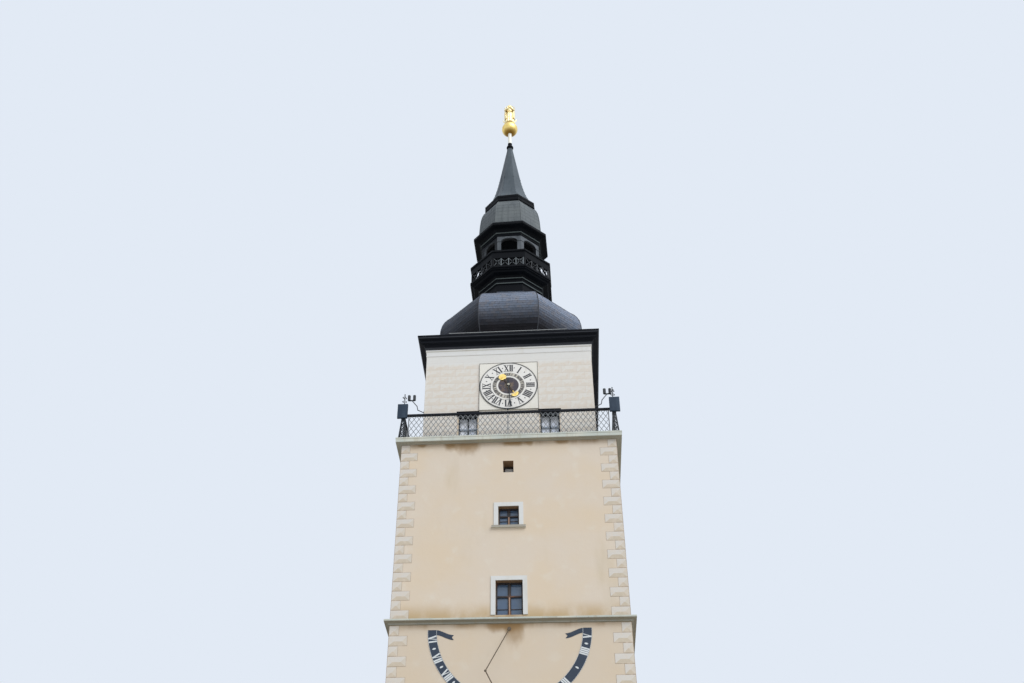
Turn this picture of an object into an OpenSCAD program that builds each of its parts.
// Town clock tower at half its real size, millimetres, +Z up.
// The origin is the centre of the foundation's underside, and the clock front faces -Y.

/* [Shaft] */
// Width of the square shaft
shaft_w = 4500; // [4300:50:4700]
// Thickness of the shaft's masonry
shaft_wall = 700; // [550:50:800]
// Height of the ground floor slab
slab_h = 150; // [100:10:200]
// Height from the ground slab to the top of the string cornice
lower_h = 10260; // [10100:20:10500]
// Height from the string cornice to the gallery floor
upper_h = 4130; // [4000:10:4300]
// Height of the plinth course
plinth_h = 620; // [500:20:800]
// Projection of the plinth course
plinth_out = 60; // [40:5:90]
// Thickness of the timber floors
floor_t = 90; // [60:10:120]
// Joint between a faceted moulding and the piece it is set against
seat_gap = 0.3; // [0.1:0.1:0.5]

/* [Cornices] */
// Height of the string cornice
string_h = 95; // [80:5:140]
// Projection of the string cornice
string_out = 100; // [70:5:130]
// Thickness of the gallery slab at its edge
deck_edge = 120; // [90:5:130]
// Height of the bed mould under the gallery slab
deck_bed = 12; // [10:2:30]
// Projection of the gallery slab past the shaft
deck_out = 122; // [110:2:150]

/* [Windows] */
// Width of the tall window
tall_w = 520; // [440:10:560]
// Height of the tall window
tall_h = 715; // [600:5:760]
// Width of the small windows
small_w = 415; // [360:5:460]
// Height of the small windows
small_h = 450; // [400:10:500]
// Width of the ventilation opening
vent_w = 216; // [180:4:260]
// Height of the ventilation opening
vent_h = 282; // [240:2:320]
// Width of the plaster surrounds
surround_w = 88; // [60:4:100]
// Projection of the plaster surrounds
surround_out = 16; // [10:1:25]
// Height from the foot of the tall window to the foot of the small window over it
mid_rise = 1905; // [1850:5:1950]
// Height from the foot of that small window to the ventilation opening
vent_rise = 1260; // [1200:10:1300]
// Depth from the wall face to a window frame
reveal = 100; // [50:5:120]
// Depth from the wall face to the ventilation pane
vent_reveal = 235; // [150:5:300]
// Width of the members of a window frame
frame_w = 30; // [20:1:40]
// Depth of a window frame
frame_d = 36; // [24:1:50]
// Thickness of the glass
glass_t = 8; // [6:1:10]

/* [Entrance] */
// Width of the entrance
door_w = 760; // [640:20:860]
// Height of the entrance up to the spring of its arch
door_spring = 980; // [900:20:1100]
// Thickness of the door leaf
door_t = 45; // [35:5:60]

/* [Sundial] */
// Outer radius of the sundial band
sundial_r = 1520; // [1400:20:1560]
// Width of the sundial band
sundial_band_w = 170; // [120:5:220]
// Relief of the sundial band
sundial_t = 6; // [4:1:10]
// Length of the ribbon at each end of the band
ribbon_l = 350; // [300:10:380]
// Distance of the sundial's centre below the string cornice's top
sundial_drop = 200; // [180:5:260]
// Radius of the gnomon's rods
gnomon_r = 10; // [6:1:14]
// Reach of the gnomon out from the wall
gnomon_reach = 1075; // [900:25:1200]
// Angle of the gnomon from the wall, set by the latitude
gnomon_angle = 41.6; // [38:0.2:46]
// Shift of the gnomon's tip to the left
gnomon_shift = 360; // [250:10:450]

/* [Gallery railing] */
// Distance of the railing from the edge of the gallery slab
rail_inset = 122; // [90:2:160]
// Height of the handrail's top
rail_h = 660; // [600:5:750]
// Width of the handrail
handrail_w = 54; // [40:2:54]
// Height of the handrail
handrail_h = 42; // [30:2:50]
// Width of a stanchion and of the bottom rail
stanchion_w = 20; // [14:1:26]
// Height of the bottom rail over the gallery floor
rail_foot = 45; // [30:5:70]
// Width of a lattice bar
lattice_bar = 10; // [8:0.5:13]
// Thickness of the lattice
lattice_t = 8; // [6:0.5:12]
// Lattice diamonds along a bay
lattice_cols = 20; // [12:1:20]
// Half diamonds up a bay
lattice_rows = 7; // [5:2:7]

/* [Corner posts] */
// Width of a corner post at its foot
post_foot = 160; // [130:5:180]
// Width of a corner post at the top of its lattice
post_top = 80; // [70:2:100]
// Height of the lattice of a corner post
post_h = 530; // [500:5:600]
// Width of the stem above the lattice
stem_w = 56; // [56:2:70]
// Width of a corner panel
panel_w = 220; // [180:5:240]
// Height of a corner panel
panel_h = 360; // [300:5:400]
// Thickness of a corner panel
panel_t = 50; // [30:5:70]
// Height of the leafed finial
finial_h = 300; // [240:10:340]

/* [Clock storey] */
// Width of the clock storey
keep_w = 3735; // [3600:15:3850]
// Thickness of the clock storey's walls
keep_wall = 350; // [250:10:450]
// Height of the clock storey up to its frieze
keep_h = 2600; // [2500:10:2700]
// Height of the frieze
frieze_h = 150; // [140:5:200]
// Projection of the frieze
frieze_out = 26; // [16:2:36]
// Height of the eaves cornice
eaves_h = 310; // [260:5:340]
// Projection of the eaves cornice
eaves_out = 211; // [180:1:240]
// Distance of a gallery door from the middle of its wall
gdoor_x = 890; // [860:5:1000]
// Width of a gallery door
gdoor_w = 420; // [360:5:440]
// Height of the spotlights' brackets above the gallery floor
lamp_rise = 1032; // [1000:4:1140]
// Reach of the spotlights past the wall
lamp_reach = 290; // [250:10:320]
// Height of the spotlights' heads
lamp_h = 120; // [100:5:140]
// Height of a gallery door
gdoor_h = 890; // [860:10:940]
// Height of the hood over a gallery door
hood_h = 85; // [70:5:110]
// Projection of the hood, and its reach past the door's sides
hood_out = 24; // [16:2:40]

/* [Clock] */
// Width of the square clock panel
dial_panel_w = 1310; // [1250:5:1330]
// Thickness of the clock panel
dial_panel_t = 20; // [14:1:30]
// Radius of the dial
dial_r = 646; // [600:2:650]
// Thickness of the dial
dial_t = 12; // [8:1:20]
// Height of the dial's centre above the gallery floor
dial_rise = 1645; // [1630:5:1670]
// Radius of the hub of the minute hand
hub_r = 48; // [36:1:60]
// Thickness of a hand's hub
hub_t = 14; // [10:1:18]
// Height of the pivot boss on the dial
boss_h = 16; // [12:1:24]
// Gap between turning faces
run_gap = 0.3; // [0.2:0.05:0.5]
// Thickness of the hands
hand_t = 6; // [4:0.5:8]
// Length of the minute hand
minute_len = 618; // [540:2:620]
// Distance of the sun and of the moon from the centre of the dial
sun_reach = 264; // [240:2:280]
// Position of the minute hand, in degrees past twelve
minute_at = 175.5; // [170:0.5:178]
// Position of the hour hand, in degrees past twelve
hour_at = 330; // [320:0.5:340]

/* [Dome] */
// Distance from the axis to a flat of the dome at its widest
dome_r = 1735; // [1650:5:1760]
// Height of the dome
dome_h = 2230; // [2150:10:2350]
// Distance from the axis to a flat of the dome's foot
dome_foot = 1470; // [1400:10:1550]
// Horizontal thickness of the dome's shell
dome_t = 90; // [70:5:120]
// Distance from the axis to a flat of the dome's neck
neck_r = 795; // [760:5:860]
// Height of the dome's neck
neck_h = 215; // [150:5:260]

/* [Lantern] */
// Distance from the axis to a flat of the lantern's platform
platform_r = 1040; // [1000:5:1080]
// Height of the lantern's moulded base
base_h = 690; // [640:5:740]
// Height of the balustrade
balustrade_h = 555; // [500:5:600]
// Thickness of the balustrade
balustrade_t = 60; // [50:5:70]
// Distance from the axis to a flat of the arcade
arcade_r = 755; // [720:5:790]
// Height of the arcade
arcade_h = 1325; // [1280:5:1400]
// Thickness of the arcade's piers
arcade_t = 110; // [90:5:130]
// Width of an arcade opening
arch_w = 430; // [380:5:450]
// Distance from the axis to a flat of the lantern's cornice
cap_r = 968; // [930:5:1010]
// Height of the lantern's cornice
cap_h = 350; // [300:5:380]
// Rise of the arcade's flat arches
arch_rise = 130; // [90:5:180]
// Turn of the whole lantern, clockwise from above, in degrees
lantern_turn = 1; // [0:0.5:2]

/* [Spire] */
// Turn of the bell roof with the cornice under it, clockwise from above, in degrees
bell_turn = 2; // [0:0.5:4]
// Turn of the upper ring and the spire, clockwise from above, in degrees
ring_turn = 3.5; // [0:0.5:5]
// Height of the bell-shaped roof
bell_h = 1115; // [1020:5:1140]
// Distance from the axis to a flat of the bell roof's foot
bell_r = 835; // [810:5:880]
// Distance from the axis to a flat of the bell roof's top
bell_top = 655; // [620:5:665]
// Distance from the axis to a flat of the upper ring
ring_r = 678; // [670:2:720]
// Height of the upper ring
ring_h = 250; // [220:5:280]
// Height of the spire
spire_h = 2655; // [2400:25:2700]
// Distance from the axis to a flat of the spire's tip
spire_tip = 72; // [65:1:85]
// Horizontal thickness of the bell's and the spire's shells
skin_t = 50; // [40:2:60]

/* [Finial] */
// Radius of the spire's knob
knob_r = 100; // [85:1:115]
// Radius of the pole
pole_r = 52; // [40:1:60]
// Length of the pole
pole_h = 450; // [430:10:520]
// Radius of the ball
ball_r = 232; // [210:2:250]
// Height of the gilded figure, without its crescent and halo
figure_h = 830; // [800:10:880]

/* [Hidden] */
$fn = 48;

cream = [0.84, 0.79, 0.70];
pale = [0.88, 0.85, 0.80];
light_stone = [0.70, 0.71, 0.67];
dark_iron = [0.12, 0.13, 0.15];
dark_roof = [0.16, 0.16, 0.19];
grey_roof = [0.36, 0.38, 0.39];
brown_wood = [0.27, 0.16, 0.10];
gold = [0.86, 0.66, 0.22];

shaft_half = shaft_w / 2;
keep_half = keep_w / 2;
string_z = slab_h + lower_h;
gallery_z = string_z + upper_h;
deck_z = gallery_z - deck_edge - deck_bed;
shaft_h = deck_z - slab_h;
frieze_z = gallery_z + keep_h;
eaves_z = frieze_z + frieze_h;
dome_z = eaves_z + eaves_h;
lantern_z = dome_z + dome_h + neck_h;
platform_z = lantern_z + base_h;
cap_z = platform_z + arcade_h;
bell_z = cap_z + cap_h;
ring_z = bell_z + bell_h;
spire_z = ring_z + ring_h;
knob_z = spire_z + spire_h;
knob_h = 2.55 * knob_r;
pole_z = knob_z + knob_h;
ball_z = pole_z + pole_h + ball_r;
// Window list: width, height and height of the bottom above the ground
tall_z = string_z + 85;
mid_z = tall_z + mid_rise;
vent_z = mid_z + vent_rise;
low_windows = [3450, 6100];
WINDOWS = concat([[tall_w, tall_h, tall_z], [small_w, small_h, mid_z]],
                 [for (z = low_windows) [small_w, small_h, z]]);
floor_levels = [low_windows[0] - 480, low_windows[1] - 480, string_z - 480, mid_z - 480];
sundial_z = string_z - sundial_drop;
rail_r = shaft_half + deck_out - rail_inset;
dial_z = gallery_z + dial_rise;
// Foot of what stands on the gallery's floor
floor_z = gallery_z + seat_gap;

// Turns its children from the front to side i: 0 front, 1 right, 2 back, 3 left
module side(i) {
  rotate([0, 0, 90 * i]) children();
}

// Stands an outline drawn in X and Z against the plane y, its relief going outwards
module relief(y, t) {
  translate([0, -y, 0]) rotate([90, 0, 0]) linear_extrude(height = t) children();
}

// Box centred in X, with its front at -y
module slab(w, d, h, y, z) {
  translate([-w / 2, -y, z]) cube([w, d, h]);
}

// Ring of flat sides: n of them, their distance from the axis and height in pts
module flats(n, pts) {
  k = 1 / cos(180 / n);
  rotate([0, 0, 180 / n]) rotate_extrude($fn = n)
    polygon([for (p = pts) [p[0] * k, p[1]]]);
}

// Rod between two points
module rod(p, q, r) {
  d = q - p;
  l = norm(d);
  translate(p) rotate([0, acos(d[2] / l), atan2(d[1], d[0])]) cylinder(r = r, h = l, $fn = 24);
}

function bezier(a, b, c, d, n) = [for (i = [0:n]) let (t = i / n, u = 1 - t)
  u * u * u * a + 3 * u * u * t * b + 3 * u * t * t * c + t * t * t * d];
function shell(pts, t) = concat(pts, [for (i = [len(pts) - 1:-1:0]) [pts[i][0] - t, pts[i][1]]]);

module ground_floor() {
  color(light_stone) translate([-shaft_half, -shaft_half, 0]) cube([shaft_w, shaft_w, slab_h]);
}

module arch_outline(w, spring) {
  translate([-w / 2, 0]) square([w, spring]);
  translate([0, spring]) circle(r = w / 2);
}

module plinth() {
  surround = door_w + 4 * surround_w;
  out = shaft_half + plinth_out;
  color(light_stone) difference() {
    flats(4, [[shaft_half, 0], [out, 0], [out, plinth_h], [shaft_half, plinth_h + plinth_out / 2]]);
    slab(surround, 2 * plinth_out, plinth_h + plinth_out, out + 1, -1);
  }
}

module wall_openings() {
  for (w = WINDOWS) slab(w[0], 3 * shaft_wall, w[1], shaft_half + shaft_wall, w[2]);
  slab(vent_w, 3 * shaft_wall, vent_h, shaft_half + shaft_wall, vent_z);
}

module cross_wall(entrance) {
  color(cream) difference() {
    slab(shaft_w, shaft_wall, shaft_h, shaft_half, slab_h);
    wall_openings();
    if (entrance) translate([0, 0, slab_h]) relief(shaft_half - 2 * shaft_wall, 3 * shaft_wall)
      arch_outline(door_w, door_spring);
  }
}

module side_wall() {
  color(cream) difference() {
    slab(shaft_w - 2 * shaft_wall, shaft_wall, shaft_h, shaft_half, slab_h);
    wall_openings();
  }
}

module front_wall() { side(0) cross_wall(true); }
module right_wall() { side(1) side_wall(); }
module back_wall() { side(2) cross_wall(false); }
module left_wall() { side(3) side_wall(); }

module entrance_door() {
  color(brown_wood) translate([0, 0, slab_h]) relief(shaft_half - reveal - door_t, door_t)
    arch_outline(door_w, door_spring);
}

module door_surround() {
  out = 1.5 * surround_out;
  color(light_stone) translate([0, 0, slab_h]) relief(shaft_half, out) difference() {
    arch_outline(door_w + 2 * surround_w, door_spring);
    arch_outline(door_w, door_spring);
    translate([-door_w, -1]) square([2 * door_w, 1]);
  }
}

module storey_floors() {
  inner = shaft_w - 2 * shaft_wall;
  color(brown_wood) for (z = floor_levels) slab(inner, inner, floor_t, inner / 2, z);
}

module surround_frame(w, h) {
  difference() {
    translate([-w / 2 - surround_w, 0]) square([w + 2 * surround_w, h + surround_w]);
    translate([-w / 2, -1]) square([w, h + 1]);
  }
}

module window_surrounds() {
  sill_h = 0.6 * surround_w;
  color(pale) for (i = [0:3]) side(i) {
    for (w = WINDOWS) translate([0, 0, w[2]]) relief(shaft_half, surround_out)
      surround_frame(w[0], w[1]);
    for (w = WINDOWS) if (w[2] != tall_z)
      slab(w[0] + 3 * surround_w, 3 * surround_out, sill_h, shaft_half + 3 * surround_out,
           w[2] - sill_h);
  }
}

module window_rim(w, h) {
  difference() {
    translate([-w / 2, 0]) square([w, h]);
    translate([-w / 2 + frame_w, frame_w]) square([w - 2 * frame_w, h - 2 * frame_w]);
  }
}

// Frame with a mullion, and a transom at a share of its height
module casement(w, h, transom) {
  window_rim(w, h);
  translate([-frame_w / 2, frame_w / 2]) square([frame_w, h - frame_w]);
  translate([-w / 2 + frame_w / 2, transom * h]) square([w - frame_w, frame_w]);
}

module window_frames() {
  color(brown_wood) for (i = [0:3]) side(i) {
    for (w = WINDOWS) translate([0, 0, w[2]])
      relief(shaft_half - reveal - frame_d, frame_d) casement(w[0], w[1], 0.57);
    translate([0, 0, vent_z]) relief(shaft_half - vent_reveal - frame_d, frame_d)
      window_rim(vent_w, vent_h);
  }
}

module window_glass() {
  color([0.35, 0.42, 0.50, 0.8]) for (i = [0:3]) side(i) {
    for (w = WINDOWS)
      slab(w[0] - frame_w, glass_t, w[1] - frame_w, shaft_half - reveal - frame_d,
           w[2] + frame_w / 2);
    slab(vent_w - frame_w, glass_t, vent_h - frame_w, shaft_half - vent_reveal - frame_d,
         vent_z + frame_w / 2);
  }
}

module string_cornice() {
  z = string_z - string_h;
  out = shaft_half + string_out;
  color(light_stone) flats(4, concat(
    [[shaft_half, z]],
    [for (a = [0:15:90]) [shaft_half + 0.25 * string_out + 0.55 * string_out * (1 - cos(a)),
                          z + 0.1 * string_h + 0.45 * string_h * sin(a)]],
    [[out, z + 0.55 * string_h], [out, string_z - 5], [shaft_half, string_z + 15]]));
}

// Ribbon end that waves inwards from x0, w wide and l long, with a forked tip
function ribbon(x0, w, l) = let (steps = 12, drop = 0.3 * l,
  line = [for (i = [0:steps]) let (t = i / steps) [x0 - l * t, -w / 2 - drop * (1 - cos(180 * t)) / 2]])
  concat([for (p = line) p + [0, w / 2]], [[x0 - l + 0.4 * w, line[steps][1]]],
         [for (i = [steps:-1:0]) line[i] - [0, w / 2]]);

module sundial_band() {
  r = sundial_r - sundial_band_w;
  color([0.24, 0.29, 0.38]) translate([0, 0, sundial_z]) relief(shaft_half, sundial_t) {
    intersection() {
      difference() {
        circle(r = sundial_r, $fn = 96);
        circle(r = r, $fn = 96);
      }
      translate([-sundial_r, -sundial_r]) square([2 * sundial_r, sundial_r]);
    }
    for (s = [0, 1]) mirror([s, 0]) polygon(ribbon(r + 30, 0.55 * sundial_band_w, ribbon_l));
  }
}

gnomon_drop = norm([gnomon_reach, gnomon_shift]) / tan(gnomon_angle);
gnomon_tip = [-gnomon_shift, -shaft_half - gnomon_reach, sundial_z - gnomon_drop];

module gnomon() {
  seat = 24;
  root = [0, -shaft_half - seat / 2, sundial_z];
  foot = [0, -shaft_half - seat / 2, sundial_z - sundial_r - 160];
  color(dark_iron) {
    rod(root, gnomon_tip, gnomon_r);
    rod(gnomon_tip, foot, gnomon_r);
    translate(gnomon_tip) sphere(r = 2.2 * gnomon_r, $fn = 24);
    for (p = [root, foot]) translate([0, -shaft_half, p[2]]) rotate([90, 0, 0])
      cylinder(r = 3.5 * gnomon_r, h = seat);
  }
}

module gallery_deck() {
  out = shaft_half + deck_out;
  z = deck_z;
  drip = z + deck_bed + 6;
  color(light_stone) flats(4, [[0, z], [shaft_half + 0.25 * deck_out, z],
    [shaft_half + 0.35 * deck_out, z + deck_bed], [out - 14, z + deck_bed], [out - 14, drip],
    [out - 6, drip], [out - 6, gallery_z - 0.4 * deck_edge], [out, gallery_z - 0.3 * deck_edge],
    [out, gallery_z - 6], [out - 10, gallery_z], [0, gallery_z]]);
}

// Diamond of the lattice, cut off at the edges of its bay
function lattice_hole(i, j, cols, rows, pw, ph, a, b) =
  let (x = i * pw, y = j * ph, corner = (i == 0 || i == cols) && (j == 0 || j == rows))
  concat(i > 0 ? [[x - a, y]] : [], corner && j == 0 ? [[x, y]] : [],
         j > 0 ? [[x, y - b]] : [], i < cols ? [[x + a, y]] : [],
         j < rows ? [[x, y + b]] : [], corner && j == rows ? [[x, y]] : []);

// Diamond lattice of crossing bars, as a plate with its openings
module lattice(l, h, cols, rows) {
  pw = l / (2 * cols);
  ph = h / rows;
  k = 1 - lattice_bar / 2 * norm([pw, ph]) / (pw * ph);
  difference() {
    translate([-stanchion_w / 2, -stanchion_w / 2]) square([l + stanchion_w, h + stanchion_w]);
    for (i = [0:2 * cols], j = [0:rows]) if ((i + j) % 2 == 1)
      polygon(lattice_hole(i, j, 2 * cols, rows, pw, ph, pw * k, ph * k));
  }
}

module railing() {
  half = rail_r - stem_w / 2;
  bay = half - 1.5 * stanchion_w - post_foot / 2;
  net_z = rail_foot + stanchion_w / 2;
  net_h = rail_h - handrail_h - net_z;
  color(dark_iron) translate([0, -rail_r, floor_z]) {
    translate([-half, -handrail_w / 2, rail_h - handrail_h])
      cube([2 * half, handrail_w, handrail_h]);
    for (s = [-1, 1]) translate([s < 0 ? -bay - stanchion_w / 2 : stanchion_w / 2, lattice_t / 2, net_z])
      rotate([90, 0, 0]) linear_extrude(height = lattice_t)
        lattice(bay, net_h, lattice_cols, lattice_rows);
    for (x = [-bay - stanchion_w, 0, bay + stanchion_w])
      translate([x - stanchion_w / 2, -stanchion_w / 2, 0])
        cube([stanchion_w, stanchion_w, rail_h - handrail_h / 2]);
    translate([-bay - stanchion_w, -stanchion_w / 2, rail_foot])
      cube([2 * bay + 2 * stanchion_w, stanchion_w, stanchion_w]);
    translate([0, 0, rail_h - 1]) cylinder(r = 0.35 * stanchion_w, h = 100, $fn = 24);
    translate([0, 0, rail_h + 60]) sphere(r = 0.8 * stanchion_w, $fn = 24);
  }
}

module railing_front() { side(0) railing(); }
module railing_right() { side(1) railing(); }
module railing_back() { side(2) railing(); }
module railing_left() { side(3) railing(); }

// Lattice of a tapering post, cut through from front to back: corner straps and crossed braces
module post_cuts() {
  lean = (post_foot - post_top) / 2;
  strap = 16;
  brace = 8;
  rows = 5;
  step = post_h / rows;
  for (i = [0:rows - 1]) {
    y0 = step * i + (i == 0 ? strap : brace / 2);
    y1 = step * (i + 1) - brace / 2;
    w0 = post_foot / 2 - lean * y0 / post_h - strap;
    w1 = post_foot / 2 - lean * y1 / post_h - strap;
    c = (y0 + y1) / 2;
    for (s = [-1, 1]) polygon([[s * w0, y0 + brace], [s * w1, y1 - brace], [s * brace, c]]);
    polygon([[-w0 + brace, y0], [w0 - brace, y0], [0, c - brace]]);
    polygon([[-w1 + brace, y1], [w1 - brace, y1], [0, c + brace]]);
  }
}

module lattice_post() {
  difference() {
    flats(4, shell([[post_foot / 2, 0], [post_top / 2, post_h]], 8));
    for (j = [0, 1]) rotate([0, 0, 90 * j]) relief(-post_foot, 2 * post_foot) post_cuts();
  }
}

module leaf(w, h) {
  rotate([90, 0, 0]) translate([0, 0, -2]) linear_extrude(height = 4)
    polygon(concat([for (t = [0:0.125:1]) [w * sin(180 * t), h * t]],
                   [for (t = [0.875:-0.125:0.125]) [0.4 * w * sin(180 * t), h * t]]));
}

module corner_posts() {
  stem_h = post_h + panel_h + 20;
  color(dark_iron) for (i = [0:3]) side(i) translate([-rail_r, -rail_r, floor_z]) {
    lattice_post();
    translate([-stem_w / 2, -stem_w / 2, post_h]) cube([stem_w, stem_w, stem_h - post_h]);
    translate([-post_top / 2 - 4, -post_top / 2 - 4, post_h - 10])
      cube([post_top + 8, post_top + 8, 16]);
    translate([0, 0, stem_h - 1]) cylinder(r = 8, h = finial_h, $fn = 24);
    translate([0, 0, stem_h + finial_h]) sphere(r = 14, $fn = 24);
    for (z = [0.25, 0.6], j = [0:3]) rotate([0, 0, 90 * j + 45 * z])
      translate([6, 0, stem_h + z * finial_h]) leaf(46, 70);
  }
}

module corner_panels() {
  z = gallery_z + post_h + 15;
  color([0.22, 0.25, 0.29]) for (i = [0, 2], s = [-1, 1]) side(i)
    translate([s * (rail_r + 20) - panel_w / 2, -rail_r - stem_w / 2 - panel_t, z])
      cube([panel_w, panel_t, panel_h]);
}

module spotlights() {
  z = gallery_z + lamp_rise;
  r = lamp_reach;
  arm = [[-keep_half - 6, 0, z], [-keep_half - 0.52 * r, 0, z + 0.29 * r],
         [-keep_half - 0.59 * r, 0, z + 0.65 * r], [-keep_half - r, 0, z + 1.2 * r]];
  tip = arm[3];
  color(dark_iron) for (i = [0, 2], s = [0, 1]) side(i) mirror([s, 0, 0])
    translate([0, -keep_half + 60, 0]) {
      for (k = [0:2]) rod(arm[k], arm[k + 1], 9);
      for (k = [1:3]) translate(arm[k]) sphere(r = 11, $fn = 24);
      translate([-keep_half - 12, -30, z - 34]) cube([12, 60, 76]);
      translate(tip + [-80, -12, -6]) cube([146, 24, 20]);
      for (x = [-66, 52]) translate(tip + [x, 0, 8]) rotate([8, 0, 0]) cylinder(r = 32, h = lamp_h);
    }
}

module door_holes() {
  for (s = [-1, 1]) translate([s * gdoor_x, 0, 0])
    slab(gdoor_w, 3 * keep_wall, gdoor_h + 1, keep_half + keep_wall, floor_z - 1);
}

module clock_wall(w) {
  color([0.87, 0.82, 0.76]) difference() {
    slab(w, keep_wall, eaves_z - floor_z, keep_half, floor_z);
    door_holes();
  }
}

module clock_front_wall() { side(0) clock_wall(keep_w); }
module clock_right_wall() { side(1) clock_wall(keep_w - 2 * keep_wall); }
module clock_back_wall() { side(2) clock_wall(keep_w); }
module clock_left_wall() { side(3) clock_wall(keep_w - 2 * keep_wall); }

module gallery_doors() {
  color(brown_wood) for (i = [0:3], s = [-1, 1]) side(i) translate([s * gdoor_x, 0, floor_z]) {
    relief(keep_half - reveal - frame_d, frame_d) {
      casement(gdoor_w, gdoor_h, 0.62);
      translate([-gdoor_w / 2, 0]) square([gdoor_w, 0.24 * gdoor_h]);
    }
    // Hood over the door's head
    slab(gdoor_w + 2 * hood_out, hood_out, hood_h, keep_half + hood_out, gdoor_h - 0.4 * hood_h);
  }
}

module gallery_door_glass() {
  z = floor_z + 0.2 * gdoor_h;
  color([0.35, 0.42, 0.50, 0.8]) for (i = [0:3], s = [-1, 1]) side(i) translate([s * gdoor_x, 0, 0])
    slab(gdoor_w - frame_w, glass_t, 0.8 * gdoor_h - frame_w / 2, keep_half - reveal - frame_d, z);
}

module frieze() {
  out = keep_half + frieze_out;
  inner = keep_half + seat_gap;
  color(pale) flats(4, [[inner, frieze_z - 30], [keep_half + 0.4 * frieze_out, frieze_z - 30],
    [keep_half + 0.6 * frieze_out, frieze_z], [keep_half + 0.3 * frieze_out, frieze_z + 8],
    [keep_half + 0.3 * frieze_out, eaves_z - 50], [out, eaves_z - 34], [out, eaves_z],
    [inner, eaves_z]]);
}

module eaves_cornice() {
  k = keep_half;
  h = eaves_h;
  o = eaves_out;
  inner = 2 * (keep_half - keep_wall);
  color([0.10, 0.10, 0.12]) difference() {
    flats(4, concat([[0, eaves_z], [k + 0.16 * o, eaves_z], [k + 0.16 * o, eaves_z + 0.12 * h]],
      [for (a = [0:18:90]) [k + 0.2 * o + 0.3 * o * (1 - cos(a)), eaves_z + (0.14 + 0.24 * sin(a)) * h]],
      [[k + 0.68 * o, eaves_z + 0.42 * h], [k + 0.68 * o, eaves_z + 0.62 * h]],
      [for (a = [0:18:90]) [k + (0.72 + 0.26 * sin(a)) * o, eaves_z + (0.64 + 0.22 * (1 - cos(a))) * h]],
      [[k + o, eaves_z + 0.88 * h], [k + o, dome_z - 6], [k + o - 14, dome_z], [0, dome_z]]));
    slab(inner, inner, 0.7 * h + 1, inner / 2, eaves_z - 1);
  }
}

module clock_panels() {
  edge = 8;
  color(pale) for (i = [0:3]) side(i) translate([0, 0, dial_z]) {
    slab(dial_panel_w, dial_panel_t, dial_panel_w, keep_half + dial_panel_t, -dial_panel_w / 2);
    relief(keep_half + dial_panel_t, 4) difference() {
      square(dial_panel_w, center = true);
      square(dial_panel_w - 2 * edge, center = true);
    }
  }
}

dial_front = keep_half + dial_panel_t;

module dials() {
  color([0.90, 0.90, 0.88]) for (i = [0:3]) side(i) translate([0, -dial_front, dial_z])
    rotate([90, 0, 0]) {
      cylinder(r = dial_r, h = dial_t, $fn = 96);
      difference() {
        cylinder(r = dial_r, h = dial_t + 4, $fn = 96);
        translate([0, 0, -1]) cylinder(r = dial_r - 16, h = dial_t + 9, $fn = 96);
      }
      cylinder(r = hub_r, h = dial_t + boss_h);
    }
}

// Puts a hand drawn on the dial's plane, twelve upwards, at its angle and distance from the dial
module on_dial(angle, lift) {
  translate([0, -dial_front - dial_t - lift, dial_z]) rotate([90, 0, 0]) rotate([0, 0, -angle])
    children();
}

hour_lift = boss_h + run_gap;
minute_lift = hour_lift + hub_t + run_gap;

module hour_hand_shape() {
  cylinder(r = hub_r, h = hub_t);
  linear_extrude(height = hand_t) {
    polygon([[-14, 0], [14, 0], [9, sun_reach - 40], [-9, sun_reach - 40]]);
    polygon([[-14, 0], [14, 0], [9, -sun_reach - 56], [-9, -sun_reach - 56]]);
    translate([0, sun_reach]) polygon([for (i = [0:31]) let (r = i % 2 == 0 ? 66 : 50)
      [r * cos(11.25 * i), r * sin(11.25 * i)]]);
    translate([0, -sun_reach]) difference() {
      circle(r = 62);
      translate([0, 30]) circle(r = 50);
    }
  }
}

module minute_hand_shape() {
  cylinder(r = 0.85 * hub_r, h = hub_t);
  linear_extrude(height = hand_t) {
    polygon([[-13, 0], [13, 0], [9, 0.72 * minute_len], [-9, 0.72 * minute_len]]);
    polygon([[-9, 0.72 * minute_len - 4], [9, 0.72 * minute_len - 4], [30, 0.8 * minute_len],
             [0, minute_len], [-30, 0.8 * minute_len]]);
    polygon([[-12, 0], [12, 0], [22, -150], [0, -180], [-22, -150]]);
  }
}

module minute_hand() { color(dark_iron) on_dial(minute_at, minute_lift) minute_hand_shape(); }
module hour_hand() { color(gold) on_dial(hour_at, hour_lift) hour_hand_shape(); }

module side_clock_hands() {
  color(dark_iron) for (i = [1:3]) side(i) {
    on_dial(hour_at, boss_h) hour_hand_shape();
    on_dial(minute_at, boss_h + hub_t) minute_hand_shape();
  }
}

dome_shoulder = [0.85 * dome_r, 0.80 * dome_h];
dome_curve = concat(
  bezier([dome_foot, seat_gap], [dome_r - 60, 0.22 * dome_h], [dome_r, 0.34 * dome_h],
         [dome_r, 0.48 * dome_h], 6),
  [for (p = bezier([dome_r, 0.48 * dome_h], [dome_r, 0.66 * dome_h], [0.94 * dome_r, 0.73 * dome_h],
          dome_shoulder, 5)) if (p[1] > 0.49 * dome_h) p],
  [for (p = bezier(dome_shoulder, [0.76 * dome_r, 0.88 * dome_h], [neck_r + 30, 0.9 * dome_h],
          [neck_r, dome_h], 6)) if (p[1] > 0.805 * dome_h) p],
  [[neck_r, dome_h + neck_h]]);

module dome() {
  color(dark_roof) translate([0, 0, dome_z]) flats(8, shell(dome_curve, dome_t));
}

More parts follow.
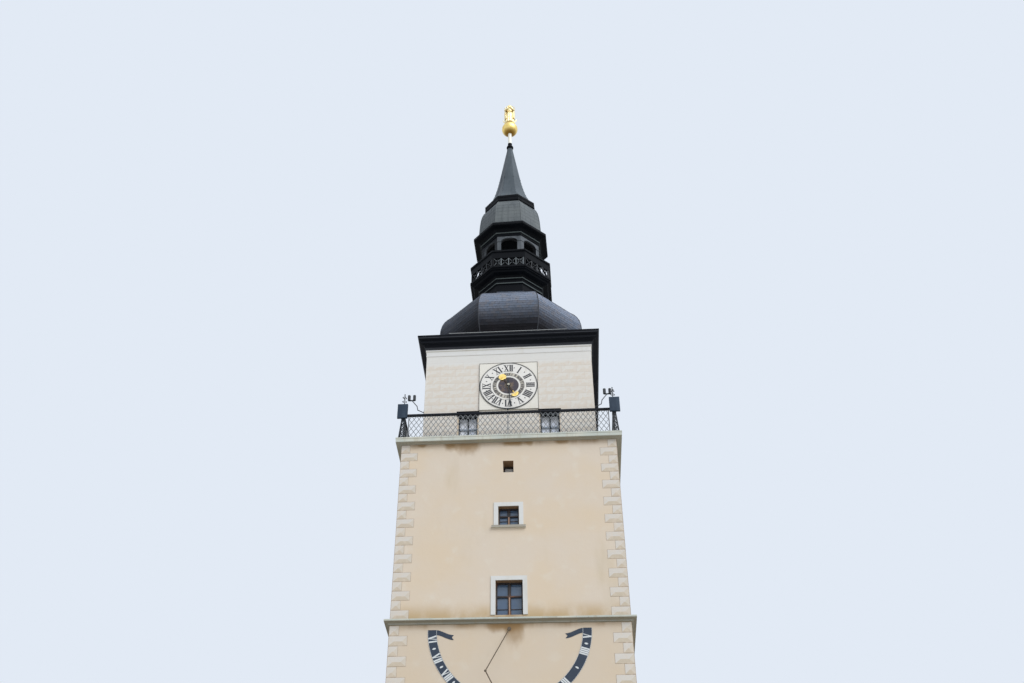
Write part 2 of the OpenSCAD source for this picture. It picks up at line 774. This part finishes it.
module lantern_base() {
  b = base_h;
  p = platform_r;
  r = neck_r - dome_t;
  z = lantern_z;
  color([0.10, 0.10, 0.12]) rotate([0, 0, -lantern_turn]) flats(8, [[r, z], [neck_r + 14, z],
    [neck_r + 14, z + 0.20 * b], [neck_r - 14, z + 0.24 * b], [neck_r - 14, z + 0.35 * b],
    [neck_r + 18, z + 0.38 * b], [neck_r + 18, z + 0.42 * b], [neck_r - 8, z + 0.45 * b],
    [neck_r - 8, z + 0.58 * b], [neck_r + 24, z + 0.61 * b], [neck_r + 24, z + 0.65 * b],
    [neck_r + 8, z + 0.68 * b], [neck_r + 50, z + 0.74 * b], [p - 90, z + 0.78 * b],
    [p - 70, z + 0.84 * b], [p - 30, z + 0.86 * b], [p - 30, z + 0.90 * b], [p, z + 0.92 * b],
    [p, z + b], [0, z + b], [0, z + 0.88 * b], [r, z + 0.84 * b]]);
}

// Flat side of an octagon at a distance r from the axis
module octagon_sides(r) {
  for (i = [0:7]) rotate([0, 0, 45 * i]) translate([0, -r, 0]) children();
}

module lantern_balustrade() {
  r = platform_r - 25;
  t = balustrade_t;
  h = balustrade_h;
  l = 2 * (r - t / 2) * tan(22.5);
  foot = 25;
  band = 0.5 * h;
  posts = 4;
  pitch = (l - t) / posts;
  bar = 13;
  color([0.10, 0.10, 0.12]) rotate([0, 0, -lantern_turn]) {
    flats(8, [[r - t, platform_z], [r, platform_z], [r, platform_z + foot],
              [r - t, platform_z + foot]]);
    flats(8, [[r - t, platform_z + band], [r, platform_z + band],
              [r, platform_z + h - 70], [platform_r, platform_z + h - 60],
              [platform_r, platform_z + h - 8], [platform_r - 12, platform_z + h],
              [r - t - 10, platform_z + h], [r - t - 10, platform_z + h - 40], [r - t, platform_z + h - 50]]);
    for (i = [0:7]) rotate([0, 0, 45 * i + 22.5])
      translate([0, -(r - t / 2) / cos(22.5), platform_z + foot - 1]) rotate([0, 0, 22.5])
        cylinder(r = 0.54 * t, h = band - foot + 2, $fn = 8);
    octagon_sides(r - t / 2) translate([0, 0.35 * t, platform_z + foot - 1]) rotate([90, 0, 0])
      linear_extrude(height = 0.7 * t) for (k = [0:posts - 1]) translate([(k - posts / 2 + 0.5) * pitch, 0])
        for (s = [-1, 1]) polygon([[-s * pitch / 2 - bar, 0], [-s * pitch / 2 + bar, 0],
          [s * pitch / 2 + bar, band - foot + 2], [s * pitch / 2 - bar, band - foot + 2]]);
  }
}

// Opening under a flat arch
module flat_arch(w, spring, rise) {
  polygon(concat([[-w / 2, 0], [w / 2, 0]], [for (a = [0:10:180]) [w / 2 * cos(a), spring + rise * sin(a)]]));
}

module lantern_arcade() {
  side_l = 2 * arcade_r * tan(22.5);
  foot = 60;
  crown = arcade_h - 50;
  spring = platform_z + crown - arch_rise;
  color([0.42, 0.42, 0.42]) rotate([0, 0, -lantern_turn]) difference() {
    flats(8, [[arcade_r - arcade_t, platform_z], [arcade_r, platform_z], [arcade_r, spring - 16],
      [arcade_r + 14, spring - 10], [arcade_r + 14, spring + 10], [arcade_r, spring + 16],
      [arcade_r, cap_z - seat_gap], [arcade_r - arcade_t, cap_z - seat_gap]]);
    for (i = [0:3]) rotate([0, 0, 45 * i]) translate([0, 0, platform_z + foot])
      relief(-1.1 * arcade_r, 2.2 * arcade_r)
        flat_arch(min(arch_w, side_l - 150), crown - arch_rise - foot, arch_rise);
  }
}

module lantern_cornice() {
  a = arcade_r;
  z = cap_z;
  h = cap_h;
  color([0.10, 0.10, 0.12]) rotate([0, 0, -bell_turn]) flats(8, concat([[0, z], [a + 16, z],
    [a + 16, z + 0.24 * h], [a + 38, z + 0.25 * h], [a + 38, z + 0.34 * h], [a + 22, z + 0.36 * h],
    [a + 22, z + 0.44 * h]],
    [for (t = [0:18:90]) [a + 26 + 0.6 * (cap_r - a - 26) * (1 - cos(t)), z + (0.46 + 0.2 * sin(t)) * h]],
    [[cap_r - 18, z + 0.69 * h], [cap_r, z + 0.74 * h], [cap_r, z + 0.95 * h],
     [bell_r, bell_z], [0, bell_z]]));
}

module bell_roof() {
  curve = bezier([bell_r, seat_gap], [bell_r - 25, 0.4 * bell_h], [0.5 * (bell_r + bell_top) + 70, 0.85 * bell_h],
                 [bell_top, bell_h], 7);
  color(grey_roof) translate([0, 0, bell_z]) rotate([0, 0, -bell_turn]) flats(8, shell(curve, skin_t));
}

spire_foot = ring_r - 60;

module upper_ring() {
  z = ring_z;
  h = ring_h;
  color([0.10, 0.10, 0.12]) rotate([0, 0, -ring_turn]) flats(8, [[0, z], [bell_top, z], [ring_r - 8, z + 0.06 * h],
    [ring_r, z + 0.14 * h], [ring_r, z + 0.5 * h], [ring_r - 10, z + 0.56 * h],
    [ring_r, z + 0.62 * h], [ring_r, z + 0.9 * h], [spire_foot, z + h], [0, z + h]]);
}

module spire() {
  low = bezier([spire_foot, seat_gap], [0.70 * spire_foot, 0.12 * spire_h], [0.58 * spire_foot, 0.30 * spire_h],
               [0.49 * spire_foot, 0.42 * spire_h], 8);
  hollow = 0.62 * spire_h;
  color(grey_roof) translate([0, 0, spire_z]) rotate([0, 0, -ring_turn]) difference() {
    flats(8, concat([[0, seat_gap]], low, [[spire_tip, spire_h], [0, spire_h]]));
    translate([0, 0, -1]) flats(8, concat([[0, 0]], [for (p = low) [p[0] - skin_t, p[1]]],
      [[0.28 * spire_foot - skin_t / 2, hollow], [0, hollow]]));
  }
}

module spire_knob() {
  r = knob_r;
  color([0.10, 0.10, 0.12]) translate([0, 0, knob_z]) rotate_extrude()
    polygon(concat([[0, seat_gap], [spire_tip, seat_gap], [spire_tip, 0.2 * r]],
      [for (a = [-60:15:60]) [0.5 * r + 0.5 * r * cos(a), 0.85 * r + 0.62 * r * sin(a)]],
      [[0.62 * r, 1.5 * r], [0.62 * r, knob_h], [0, knob_h]]));
}

socket_z = ball_z - ball_r + 0.3 * pole_r;

module pole() {
  color([0.93, 0.92, 0.86]) translate([0, 0, pole_z]) cylinder(r = pole_r, h = socket_z - pole_z);
}

module ball() {
  color(gold) difference() {
    translate([0, 0, ball_z]) sphere(r = ball_r);
    translate([0, 0, socket_z - 2 * pole_r]) cylinder(r = pole_r, h = 2 * pole_r);
  }
}

module statue() {
  f = figure_h;
  z0 = ball_z + ball_r;
  feet = 60;
  crescent_r = 215;
  color(gold) translate([0, 0, z0]) {
    difference() {
      translate([0, 0, -30]) cylinder(r = 60, h = feet + 40);
      translate([0, 0, -ball_r]) sphere(r = ball_r);
    }
    // Crescent with its horns up
    translate([0, 12, crescent_r + 20]) rotate([90, 0, 0]) linear_extrude(height = 24) difference() {
      circle(r = crescent_r);
      translate([0, 75]) circle(r = crescent_r + 15);
    }
    translate([0, 0, feet]) {
      // Robe
      rotate_extrude() polygon([[0, 0], [0.13 * f, 0], [0.15 * f, 0.04 * f], [0.125 * f, 0.3 * f],
        [0.12 * f, 0.5 * f], [0.14 * f, 0.66 * f], [0.125 * f, 0.76 * f], [0.05 * f, 0.82 * f],
        [0.04 * f, 0.86 * f], [0, 0.86 * f]]);
      // Head and veil
      translate([0, 0, 0.92 * f]) sphere(r = 0.075 * f);
      // Joined forearms
      for (s = [-1, 1]) rod([s * 0.12 * f, -0.02 * f, 0.70 * f], [s * 0.10 * f, -0.15 * f, 0.60 * f], 0.03 * f);
      for (s = [-1, 1]) rod([s * 0.10 * f, -0.15 * f, 0.60 * f], [0, -0.19 * f, 0.70 * f], 0.026 * f);
      // Halo with its stars
      translate([0, 0.075 * f, 0.93 * f]) rotate([90, 0, 0]) linear_extrude(height = 8) {
        difference() {
          circle(r = 0.165 * f);
          circle(r = 0.15 * f);
        }
        for (i = [0:11]) rotate(30 * i + 15) translate([0.165 * f, 0])
          polygon([for (k = [0:9]) (k % 2 == 0 ? 26 : 11) * [cos(36 * k), sin(36 * k)]]);
        translate([-5, -0.16 * f]) square([10, 0.2 * f]);
      }
    }
  }
}

ground_floor();
plinth();
front_wall();
back_wall();
left_wall();
right_wall();
entrance_door();
door_surround();
storey_floors();
window_surrounds();
window_frames();
window_glass();
string_cornice();
sundial_band();
gnomon();
gallery_deck();
railing_front();
railing_right();
railing_back();
railing_left();
corner_posts();
corner_panels();
spotlights();
clock_front_wall();
clock_back_wall();
clock_left_wall();
clock_right_wall();
gallery_doors();
gallery_door_glass();
frieze();
eaves_cornice();
clock_panels();
dials();
minute_hand();
hour_hand();
side_clock_hands();
dome();
lantern_base();
lantern_balustrade();
lantern_arcade();
lantern_cornice();
bell_roof();
upper_ring();
spire();
spire_knob();
pole();
ball();
statue();
